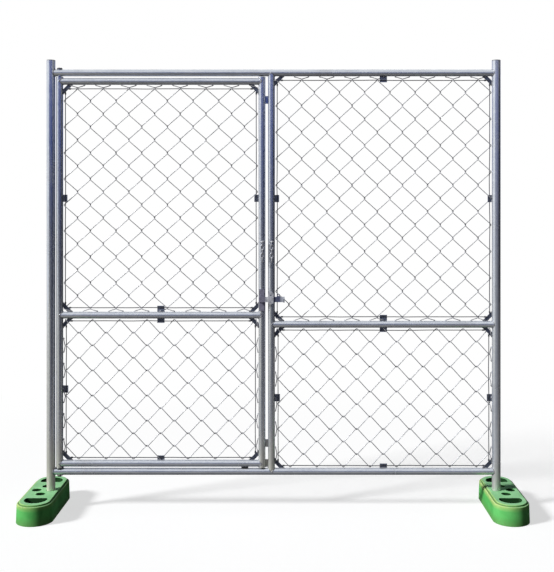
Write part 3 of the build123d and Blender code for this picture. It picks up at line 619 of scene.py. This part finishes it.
def tension_tree():
    """Makes straight edges wires that wander a little within the panel, and not at all at their ends."""
    tree, given = new_tree("tension_wire", Lines="Geometry", Wire_Radius="Float", Wander="Float",
                           Bend_Length="Float", Material="Material")
    points_a_wire, sides = 64, 10
    lines = add_node(tree, "GeometryNodeMeshToCurve", {"Mesh": given["Lines"]})
    points = add_node(tree, "GeometryNodeResampleCurve", {"Curve": lines, "Count": points_a_wire})
    factor = add_node(tree, "GeometryNodeSplineParameter").outputs["Factor"]
    half_turn = add_node(tree, "ShaderNodeMath", [factor, math.pi], operation="MULTIPLY")
    free = add_node(tree, "ShaderNodeMath", [half_turn], operation="SINE")
    bends = add_node(tree, "ShaderNodeMath", [1.0, given["Bend Length"]], operation="DIVIDE")
    place = add_node(tree, "GeometryNodeInputPosition")
    noise = add_node(tree, "ShaderNodeTexNoise", {"Vector": place, "Scale": bends, "Detail": 1.0})
    # The noise seldom leaves the middle half of its range, so four times it is a full swing either way.
    swing = add_node(tree, "ShaderNodeMath", [noise, 4.0, -2.0], operation="MULTIPLY_ADD")
    for share in (free, given["Wander"]):
        swing = add_node(tree, "ShaderNodeMath", [swing, share], operation="MULTIPLY")
    tangent = add_node(tree, "GeometryNodeInputTangent")
    sideways = add_node(tree, "ShaderNodeVectorMath", [tangent, (0, 1, 0)], operation="CROSS_PRODUCT")
    offset = add_node(tree, "ShaderNodeVectorMath", {0: sideways, "Scale": swing}, operation="SCALE")
    bent = add_node(tree, "GeometryNodeSetPosition", {"Geometry": points, "Offset": offset})
    end_tree(tree, rounded(tree, bent, sides, given["Wire Radius"]), given["Material"])
    return tree


def tie_tree():
    """Winds a short coil at each point of a mesh, along the direction that the point carries."""
    tree, given = new_tree("wire_tie", Places="Geometry", Turns="Float", Coil_Radius="Float",
                           Wire_Radius="Float", Material="Material")
    radii_a_turn, steps_a_turn, sides = 2.1, 14, 6
    length = add_node(tree, "ShaderNodeMath", [given["Turns"], given["Wire Radius"]], operation="MULTIPLY")
    length = add_node(tree, "ShaderNodeMath", [length, radii_a_turn], operation="MULTIPLY")
    coil = add_node(tree, "GeometryNodeCurveSpiral", {"Resolution": steps_a_turn, "Rotations": given["Turns"],
                                                      "Start Radius": given["Coil Radius"],
                                                      "End Radius": given["Coil Radius"], "Height": length})
    wound = rounded(tree, coil, sides, given["Wire Radius"])
    heading = add_node(tree, "GeometryNodeInputNamedAttribute", {"Name": "heading"},
                       data_type="FLOAT_VECTOR")
    turned = add_node(tree, "FunctionNodeAlignRotationToVector", {"Vector": heading}, axis="Z")
    ties = add_node(tree, "GeometryNodeInstanceOnPoints", {"Points": given["Places"], "Instance": wound,
                                                           "Rotation": turned})
    end_tree(tree, ties, given["Material"])
    return tree


def panel_wires(panel):
    """The two ends of each tension wire of a panel, inside its lugs."""
    left, right, low, high = tube_faces(panel)
    side, end = insets(panel)
    in_x, in_z = LUG_REACH - end, LUG_REACH - side
    lines = [[(left + in_x, 0, z), (right - in_x, 0, z)] for z in (low + end, high - end)]
    return lines + [[(x, 0, low + in_z), (x, 0, high - in_z)] for x in (left + side, right - side)]


def string_wires(body, *panels):
    """The tension wires and their ties in all the panels of one body."""
    wire_radius, wander, bend_length = 2 * MM, 1.6 * MM, 180 * MM
    tie_radius, tie_turns, clear_of_lug = 1.1 * MM, 4.5, 13 * MM
    ends = [line for panel in panels for line in panel_wires(panel)]
    points = [point for line in ends for point in line]
    edges = [(place, place + 1) for place in range(0, len(points), 2)]
    wires = made_by(tension_lines, mesh_of("lines", points, edges), Wire_Radius=wire_radius, Wander=wander,
                    Bend_Length=bend_length, Material=tension_steel)
    places, headings = [], []
    for first, last in ends:
        heading = (Vector(last) - Vector(first)).normalized()
        for end, way in ((Vector(first), heading), (Vector(last), -heading)):
            places.append(end + way * clear_of_lug)
            headings.append(way)
    marks = mesh_of("tie_places", places)
    attribute = marks.attributes.new("heading", "FLOAT_VECTOR", "POINT")
    attribute.data.foreach_set("vector", [part for way in headings for part in way])
    ties = made_by(wire_ties, marks, Turns=tie_turns, Coil_Radius=wire_radius + tie_radius,
                   Wire_Radius=tie_radius, Material=tension_steel)
    owner = panels[0].split("_")[0]
    dress(owner + "_tension_lines", wires, tension_steel, body, "tension_wire",
          *[panel + "_tension_wires" for panel in panels])
    dress(owner + "_wire_ties", ties, tension_steel, body, "tension_wire")


tension_steel = drawn_wire("hard_drawn_tension_wire", "#34363A", "#5E6066", shine=0.5)
tension_lines = tension_tree()
wire_ties = tie_tree()
string_wires("frame", *FIXED_PANELS)
string_wires("gate_leaf", *LEAF_PANELS)


# The chain-link mesh: zigzag wires woven each into the next, their outer loops round the tension wires.
# Galvanised 4 mm wire, bent flat. Wire ends run out past the edge in twos and are knuckled over.
# A wire end stands half a bend past the last bend. At a bend the wire turns tightly and crosses quickly.
ARM_BENDS, BEND_TIGHTNESS, CROSSING, CROWDING = 0.5, 0.99, 0.08, 0.9


def chain_link_tree():
    """Bends a row of wires into a woven mesh in the XZ plane, along Z if it stands and along X if it lies."""
    tree, given = new_tree("chain_link", Wires="Int", Bends="Int", First_Wire="Float", Wire_Spacing="Float",
                           Wire_Reach="Float", First_Bend="Float", Bend_Spacing="Float", Arm_Rise="Float",
                           Shift="Float", Layer="Float", Wire_Radius="Float", Middle_Across="Float",
                           Middle_Along="Float", Half_Across="Float", Half_Along="Float", Upright="Bool",
                           Material="Material")
    steps_a_bend, knuckle_steps, knuckle_turn, sides = 8, 5, 0.7, 8
    values = {socket.name: socket for socket in given}
    values["index"] = add_node(tree, "GeometryNodeInputIndex")

    # Each row is a sum: the name of its result, its kind, and the names or numbers that go into it.
    for result, operation, *inputs in (
            # Which wire a point is on, and how far along it the point is, counted in bends.
            ("per wire", "MULTIPLY_ADD", "Bends", steps_a_bend, steps_a_bend + 1 + 2 * knuckle_steps),
            ("wire", "DIVIDE", "index", "per wire"),
            ("wire", "FLOOR", "wire"),
            ("step", "MODULO", "index", "per wire"),
            ("turn", "MULTIPLY_ADD", "step", 1 / steps_a_bend, -ARM_BENDS - knuckle_steps / steps_a_bend),
            ("last", "ADD", "Bends", ARM_BENDS),
            ("kept", "MAXIMUM", "turn", -ARM_BENDS),
            ("kept", "MINIMUM", "kept", "last"),
            ("past", "SUBTRACT", "turn", "kept"),
            ("curl", "MULTIPLY", "past", steps_a_bend * knuckle_turn),

            # Points crowd towards the bends. Past the last bend the wire rises to its end and curls over.
            ("crowd", "MULTIPLY", "kept", 2 * math.pi),
            ("crowd", "SINE", "crowd"),
            ("eased", "MULTIPLY_ADD", "crowd", -CROWDING / (2 * math.pi), "kept"),
            ("wire gap", "ABSOLUTE", "Wire Spacing"),
            ("curl size", "DIVIDE", "Layer", "wire gap"),
            ("curl out", "SINE", "curl"),
            ("run", "MULTIPLY_ADD", "curl out", "curl size", "eased"),
            ("inside", "MAXIMUM", "run", 0.0),
            ("inside", "MINIMUM", "inside", "Bends"),
            ("beyond", "SUBTRACT", "run", "inside"),
            ("along", "MULTIPLY_ADD", "inside", "Bend Spacing", "First Bend"),
            ("along", "MULTIPLY_ADD", "beyond", "Arm Rise", "along"),

            # The zigzag: straight legs with tight rounded bends, every wire half a turn on from the last.
            ("angle", "ADD", "run", "wire"),
            ("angle", "ADD", "angle", "Shift"),
            ("angle", "MULTIPLY_ADD", "angle", math.pi, -math.pi / 2),
            ("across wave", "SINE", "angle"),
            ("tight", "MULTIPLY", "across wave", BEND_TIGHTNESS),
            ("zigzag", "ARCSINE", "tight"),
            ("centre", "ADD", "wire", 0.5),
            ("centre", "MULTIPLY_ADD", "centre", "Wire Spacing", "First Wire"),
            ("across", "MULTIPLY_ADD", "zigzag", "Wire Reach", "centre"),

            # The depth: every other leg is in front, and the wire crosses over only at its bends.
            ("depth wave", "COSINE", "angle"),
            ("spread", "MULTIPLY_ADD", "depth wave", "depth wave", CROSSING ** 2),
            ("spread", "SQRT", "spread"),
            ("depth", "DIVIDE", "depth wave", "spread"),
            ("curl over", "COSINE", "curl"),
            ("depth", "MULTIPLY", "depth", "curl over"),
            ("depth", "MULTIPLY", "depth", "Layer"),
            ("depth", "MULTIPLY", "depth", -1.0)):
        values[result] = add_node(tree, "ShaderNodeMath", [values.get(name, name) for name in inputs],
                                  operation=operation)
    across, along, depth = values["across"], values["along"], values["depth"]

    # Legs behind the panel stand further back where they pass a corner lug or a clip.
    reach, further_back = 60 * MM, 0.95
    from_middle, from_edge = {}, {}
    for way, at in (("Across", across), ("Along", along)):
        away = add_node(tree, "ShaderNodeMath", [at, given["Middle " + way]], operation="SUBTRACT")
        from_middle[way] = add_node(tree, "ShaderNodeMath", [away], operation="ABSOLUTE")
        from_edge[way] = add_node(tree, "ShaderNodeMath", [given["Half " + way], from_middle[way]],
                                  operation="SUBTRACT")
    distances = []
    for off_across, off_along in ((from_edge, from_edge), (from_edge, from_middle), (from_middle, from_edge)):
        offset = add_node(tree, "ShaderNodeCombineXYZ", {"X": off_across["Across"], "Y": off_along["Along"]})
        length = add_node(tree, "ShaderNodeVectorMath", [offset], operation="LENGTH")
        distances.append(length.outputs["Value"])
    nearest = distances[0]
    for distance in distances[1:]:
        nearest = add_node(tree, "ShaderNodeMath", [nearest, distance], operation="MINIMUM")
    crowded = add_node(tree, "ShaderNodeMapRange", {"Value": nearest, "From Min": reach,
                                                    "From Max": reach / 2, "To Max": further_back},
                       interpolation_type="SMOOTHSTEP")
    behind = add_node(tree, "ShaderNodeMath", [depth, 0.0], operation="MAXIMUM")
    depth = add_node(tree, "ShaderNodeMath", [behind, crowded, depth], operation="MULTIPLY_ADD")

    # A row of wires of enough points each, put where the values say and rounded.
    standing = add_node(tree, "ShaderNodeCombineXYZ", {"X": across, "Y": depth, "Z": along})
    lying = add_node(tree, "ShaderNodeCombineXYZ", {"X": along, "Y": depth, "Z": across})
    place = add_node(tree, "GeometryNodeSwitch", {"Switch": given["Upright"], "False": lying,
                                                  "True": standing}, input_type="VECTOR")
    one_wire = add_node(tree, "GeometryNodeMeshLine", {"Count": values["per wire"]})
    row = add_node(tree, "GeometryNodeMeshLine", {"Count": given["Wires"]})
    rows = add_node(tree, "GeometryNodeInstanceOnPoints", {"Points": row, "Instance": one_wire})
    loose = add_node(tree, "GeometryNodeRealizeInstances", [rows])
    woven = add_node(tree, "GeometryNodeSetPosition", {"Geometry": loose, "Position": place})
    lines = add_node(tree, "GeometryNodeMeshToCurve", {"Mesh": woven})
    end_tree(tree, rounded(tree, lines, sides, given["Wire Radius"]), given["Material"])
    return tree


def weave(panel, body, wires, bends, shift, upright):
    """One woven panel, in the place of its flat CAD net. Its wires run down if upright, and else across."""
    wire_radius, layer = 2 * MM, 4.3 * MM
    past_side, past_end, bend_past = 4.2 * MM, 4.5 * MM, 2.2 * MM
    side, end = insets(panel)
    arm_reach = (end if upright else side) - past_end - 2 * wire_radius
    low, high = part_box(panel + "_mesh")
    across = (low.x, high.x) if upright else (high.z, low.z)
    along = (high.z, low.z) if upright else (low.x, high.x)
    across_way = math.copysign(1, across[1] - across[0])
    along_way = math.copysign(1, along[1] - along[0])
    first_wire = across[0] - across_way * past_side
    wire_spacing = (across[1] - across[0] + 2 * across_way * past_side) / wires
    first_bend = along[0] - along_way * past_end
    bend_spacing = (along[1] - along[0] + 2 * along_way * past_end) / bends
    wire_reach = (wire_spacing / 2 + across_way * bend_past) / math.asin(BEND_TIGHTNESS)
    woven = made_by(chain_links, mesh_of("woven", []), Wires=wires, Bends=bends, First_Wire=first_wire,
                    Wire_Spacing=wire_spacing, Wire_Reach=wire_reach, First_Bend=first_bend,
                    Bend_Spacing=bend_spacing, Arm_Rise=along_way * arm_reach / ARM_BENDS, Shift=float(shift),
                    Layer=layer, Wire_Radius=wire_radius, Middle_Across=sum(across) / 2,
                    Middle_Along=sum(along) / 2, Half_Across=abs(across[1] - across[0]) / 2,
                    Half_Along=abs(along[1] - along[0]) / 2, Upright=upright, Material=mesh_steel)
    dress(panel + "_chain_link", woven, mesh_steel, body, "mesh_wire", panel + "_mesh")


mesh_steel = drawn_wire("galvanised_mesh_wire", "#95969A", "#C2C3C8", shine=0.35)
chain_links = chain_link_tree()
weave("leaf_upper", "gate_leaf", wires=15, bends=17, shift=1, upright=True)
weave("leaf_lower", "gate_leaf", wires=11, bends=14, shift=0, upright=False)
weave("fixed_upper", "frame", wires=17, bends=18, shift=0, upright=True)
weave("fixed_lower", "frame", wires=11, bends=16, shift=0, upright=False)


# The latch: a flat bolt that slides in a guide on the mid post, behind a keeper strap on the latch stile.
# Cut and bent bar, zinc plated. Its colour also paints light and shade: navy at middle depths is
# painted shade, the pale faces that stand out are rubbed wear and a painted highlight, and the pale
# end of the bolt is a painted highlight. Stained violet on the leaf.
def rubbed_and_light_painted_zinc_plate():
    material, tree, shader, place = new_material("rubbed_and_light_painted_zinc_plate", Metallic=0.35)
    x, depth, _ = add_node(tree, "ShaderNodeSeparateXYZ", [place]).outputs
    inmost, foremost = -10 * MM, -33 * MM
    outward = add_node(tree, "ShaderNodeMapRange", {"Value": depth, "From Min": inmost, "From Max": foremost})
    # The ramp over depth: navy at middle depths is painted shade, and the pale foremost faces are rubbed wear
    # and a painted highlight.
    plate = add_node(tree, "ShaderNodeValToRGB", {"Fac": outward},
                     [(0.36, "#9490A8"), (0.42, "#565D7C"), (0.76, "#60678A"), (0.8, "#E2E4EC")])
    # The end of the bolt is painted pale as a highlight, where it leaves the keeper's painted shade.
    on_stile, painted_lit_end = (-36 * MM, -41 * MM, "#9C9AAE"), (28 * MM, 36 * MM, "#C4C8D2")
    for start, full, code in (on_stile, painted_lit_end):
        part = add_node(tree, "ShaderNodeMapRange", {"Value": x, "From Min": start, "From Max": full})
        plate = add_node(tree, "ShaderNodeMix", {"Factor": part, "A": plate, "B": linear(code)},
                         data_type="RGBA")
    stain_size, scratch_width, scratch_stretch = 11 * MM, 1.5 * MM, 0.06
    stain = add_node(tree, "ShaderNodeTexNoise", {"Vector": place, "Scale": 1 / stain_size, "Detail": 6.0,
                                                  "Roughness": 0.65})
    drawn = add_node(tree, "ShaderNodeMapping", {"Vector": place, "Scale": (scratch_stretch, 1, 1)})
    scratches = add_node(tree, "ShaderNodeTexNoise", {"Vector": drawn, "Scale": 1 / scratch_width})
    stained = add_node(tree, "ShaderNodeMapRange", {"Value": stain, "From Min": 0.6, "From Max": 0.25,
                                                    "To Max": 0.7})
    zinc = add_node(tree, "ShaderNodeMix", {"Factor": stained, "A": plate, "B": linear("#55565F")},
                    data_type="RGBA")
    dullness = add_node(tree, "ShaderNodeMapRange", {"Value": scratches, "From Min": 0.3, "From Max": 0.7,
                                                     "To Min": 0.28, "To Max": 0.5})
    bump = add_node(tree, "ShaderNodeBump", {"Height": scratches, "Strength": 0.1, "Distance": 0.2 * MM})
    link_up(tree, shader, {"Base Color": zinc, "Roughness": dullness, "Normal": bump})
    return material


paint(rubbed_and_light_painted_zinc_plate(), "latch_guide", "latch_bolt", "bolt_keeper")


# The chain: two hanging tails of welded links, each from a bent rod eye on its upright.
# Bright links gone dull, with brown stains where they rub.
chain_steel = mottled("dulled_chain_steel", [(7 * MM, 6.0, 0.7, 1.0)],
                      [(0.3, "#5B4F47"), (0.45, "#9A9CA3"), (0.75, "#D5D8DD")], dullness=(0.65, 0.3),
                      Metallic=0.65)
paint(chain_steel, "leaf_chain", "post_chain", "leaf_chain_eye", "post_chain_eye")


# The studio: a white floor that takes the object's shadow, a sun from the left and a little soft light all
# round. Floor and background are white to the eye, and dimmer as a light on the object. Flags and ground
# sheets that only mirrors show give the round bright metal something to reflect, which brings out its form.
def seen_directly(tree):
    """One where a ray comes straight from the eye, or by a mirror or glass, and nought for soft light."""
    path = add_node(tree, "ShaderNodeLightPath")
    seen = path.outputs["Is Camera Ray"]
    for ray in ("Is Glossy Ray", "Is Transmission Ray"):
        seen = add_node(tree, "ShaderNodeMath", [seen, path.outputs[ray]], operation="MAXIMUM")
    return seen


def bare_material(name):
    """A material that has no shader yet, its tree, and the place on the object."""
    material, tree, shader, place = new_material(name)
    tree.nodes.remove(shader)
    return material, tree, place


def set_up(name, corners, material):
    """Stands a flat four-cornered sheet in the studio."""
    mesh = mesh_of(name, corners, faces=[(0, 1, 2, 3)])
    mesh.materials.append(material)
    sheet = bpy.data.objects.new(name, mesh)
    bpy.context.scene.collection.objects.link(sheet)
    return sheet


def studio_floor():
    material, tree, place = bare_material("white_floor")
    shadow_reach, all_white = 1.6, 3.2
    distance = add_node(tree, "ShaderNodeVectorMath", [place], operation="LENGTH").outputs["Value"]
    far = add_node(tree, "ShaderNodeMapRange", {"Value": distance, "From Min": shadow_reach,
                                                "From Max": all_white}, interpolation_type="SMOOTHSTEP")
    pale = add_node(tree, "ShaderNodeBsdfDiffuse", {"Color": linear("#B3B3B3")})
    lift = add_node(tree, "ShaderNodeEmission", {"Color": (1, 1, 1, 1), "Strength": 0.64})
    near = add_node(tree, "ShaderNodeAddShader", [pale, lift])
    white = add_node(tree, "ShaderNodeEmission", {"Color": (1, 1, 1, 1), "Strength": 1.0})
    shown = add_node(tree, "ShaderNodeMixShader", [far, near, white])
    bounced = add_node(tree, "ShaderNodeBsdfDiffuse", {"Color": linear("#645F58")})
    either = add_node(tree, "ShaderNodeMixShader", [seen_directly(tree), bounced, shown])
    link_up(tree, tree.nodes["Material Output"], {"Surface": either})
    return material


FLOOR_HALF = 40.0
floor = set_up("floor", [(-FLOOR_HALF, -FLOOR_HALF, 0), (FLOOR_HALF, -FLOOR_HALF, 0),
                         (FLOOR_HALF, FLOOR_HALF, 0), (-FLOOR_HALF, FLOOR_HALF, 0)], studio_floor())


def flag(name, corners, axis, stops):
    """A card that is seen in mirrors alone, its colours given by metres from the origin along one axis."""
    material, tree, place = bare_material(name)
    furthest = stops[-1][0]
    along = add_node(tree, "ShaderNodeSeparateXYZ", [place]).outputs[axis]
    away = add_node(tree, "ShaderNodeMath", [along], operation="ABSOLUTE")
    share = add_node(tree, "ShaderNodeMath", [away, furthest], operation="DIVIDE")
    shade = add_node(tree, "ShaderNodeValToRGB", {"Fac": share}, [(m / furthest, code) for m, code in stops])
    glow = add_node(tree, "ShaderNodeEmission", {"Color": shade, "Strength": 1.0})
    link_up(tree, tree.nodes["Material Output"], {"Surface": glow})
    card = set_up(name, corners, material)
    card.visible_camera = card.visible_diffuse = card.visible_transmission = card.visible_shadow = False


# The flags and sheets glow, though they are no lamps: painted reflections of a navy sky, of dark shade on the
# right and of pale dry ground. The dark band of NEAR_GROUND nearest the gate paints the gate's shadow on the
# ground.
FLAG_TOP, SHEET_Z = 3.8, 2 * MM
LEFT, SHEET_LEFT, RIGHT, FRONT, BACK = -8.0, -1.9, 9.0, -7.0, 7.0
SKY = [(0.0, "#4A4A4E"), (1.2, "#30364C"), (2.4, "#2A4AA0")]
SHADE = [(0.0, "#2B2A2C"), (1.4, "#262B3C")]
DRY_GROUND = [(0.0, "#D3CDB6"), (8.0, "#DAD4C4")]
NEAR_GROUND = [(0.0, "#66686C"), (0.35, "#7C7A78"), (0.6, "#A8A29A"), (1.0, "#A09A92"), (1.8, "#64646A"),
               (7.0, "#4A4C54")]
FAR_GROUND = [(0.0, "#66686C"), (0.3, "#55575C"), (7.0, "#4A4C54")]
for name, (x, y), (end_x, end_y), stops in (("front_flag", (LEFT, FRONT), (RIGHT, FRONT), SKY),
                                            ("back_flag", (LEFT, BACK), (RIGHT, BACK), SKY),
                                            ("right_flag", (RIGHT, FRONT), (RIGHT, BACK), SHADE)):
    flag(name, [(x, y, 0), (end_x, end_y, 0), (end_x, end_y, FLAG_TOP), (x, y, FLAG_TOP)], "Z", stops)
for name, (left, right), (near, far), axis, stops in (
        ("left_ground", (LEFT, SHEET_LEFT), (FRONT, BACK), "X", DRY_GROUND),
        ("near_ground", (SHEET_LEFT, RIGHT), (FRONT, 0), "Y", NEAR_GROUND),
        ("far_ground", (SHEET_LEFT, RIGHT), (0, BACK), "Y", FAR_GROUND)):
    flag(name, [(left, near, SHEET_Z), (right, near, SHEET_Z), (right, far, SHEET_Z), (left, far, SHEET_Z)],
         axis, stops)

world = bpy.data.worlds.new("soft_surround")
world.use_nodes = True
sky = world.node_tree
soft = add_node(sky, "ShaderNodeBackground", {"Color": linear("#DCE6F5"), "Strength": 0.05})
white = add_node(sky, "ShaderNodeBackground", {"Color": (1, 1, 1, 1), "Strength": 1.0})
surround = add_node(sky, "ShaderNodeMixShader", [seen_directly(sky), soft, white])
link_up(sky, sky.nodes["World Output"], {"Surface": surround})
bpy.context.scene.world = world

# The sun stands where the dark sides of the feet and the shadow of the bottom rail on a foot put it.
TO_SUN = Vector((-0.9, -0.43, 0.623))
sun = bpy.data.objects.new("sun", bpy.data.lights.new("sun", "SUN"))
sun.data.energy = 4.25
sun.data.angle = math.radians(10)
sun.rotation_euler = TO_SUN.to_track_quat("Z", "Y").to_euler()
bpy.context.scene.collection.objects.link(sun)


# The camera: level, 4.4 m in front of the gate and at head height, which is where the picture was taken from.
# The point straight ahead of it is above and right of the picture's middle, so the lens is shifted.
PICTURE_WIDE, PICTURE_HIGH = 554, 572
AHEAD_U, AHEAD_V = 290, 200
MIDDLE_U, GROUND_V = 273.6, 509.63
MM_A_PIXEL = 4.694
DISTANCE = 4400 * MM
SENSOR = 36.0
camera = bpy.data.objects.new("camera", bpy.data.cameras.new("camera"))
camera.location = ((AHEAD_U - MIDDLE_U) * MM_A_PIXEL * MM, -DISTANCE,
                   (GROUND_V - AHEAD_V) * MM_A_PIXEL * MM)
camera.rotation_euler = (math.radians(90), 0, 0)
camera.data.sensor_width = SENSOR
camera.data.lens = SENSOR * DISTANCE / (PICTURE_HIGH * MM_A_PIXEL * MM)
camera.data.shift_x = (PICTURE_WIDE / 2 - AHEAD_U) / PICTURE_HIGH
camera.data.shift_y = (AHEAD_V - PICTURE_HIGH / 2) / PICTURE_HIGH
bpy.context.scene.collection.objects.link(camera)
bpy.context.scene.camera = camera
bpy.context.scene.view_settings.view_transform = "Standard"
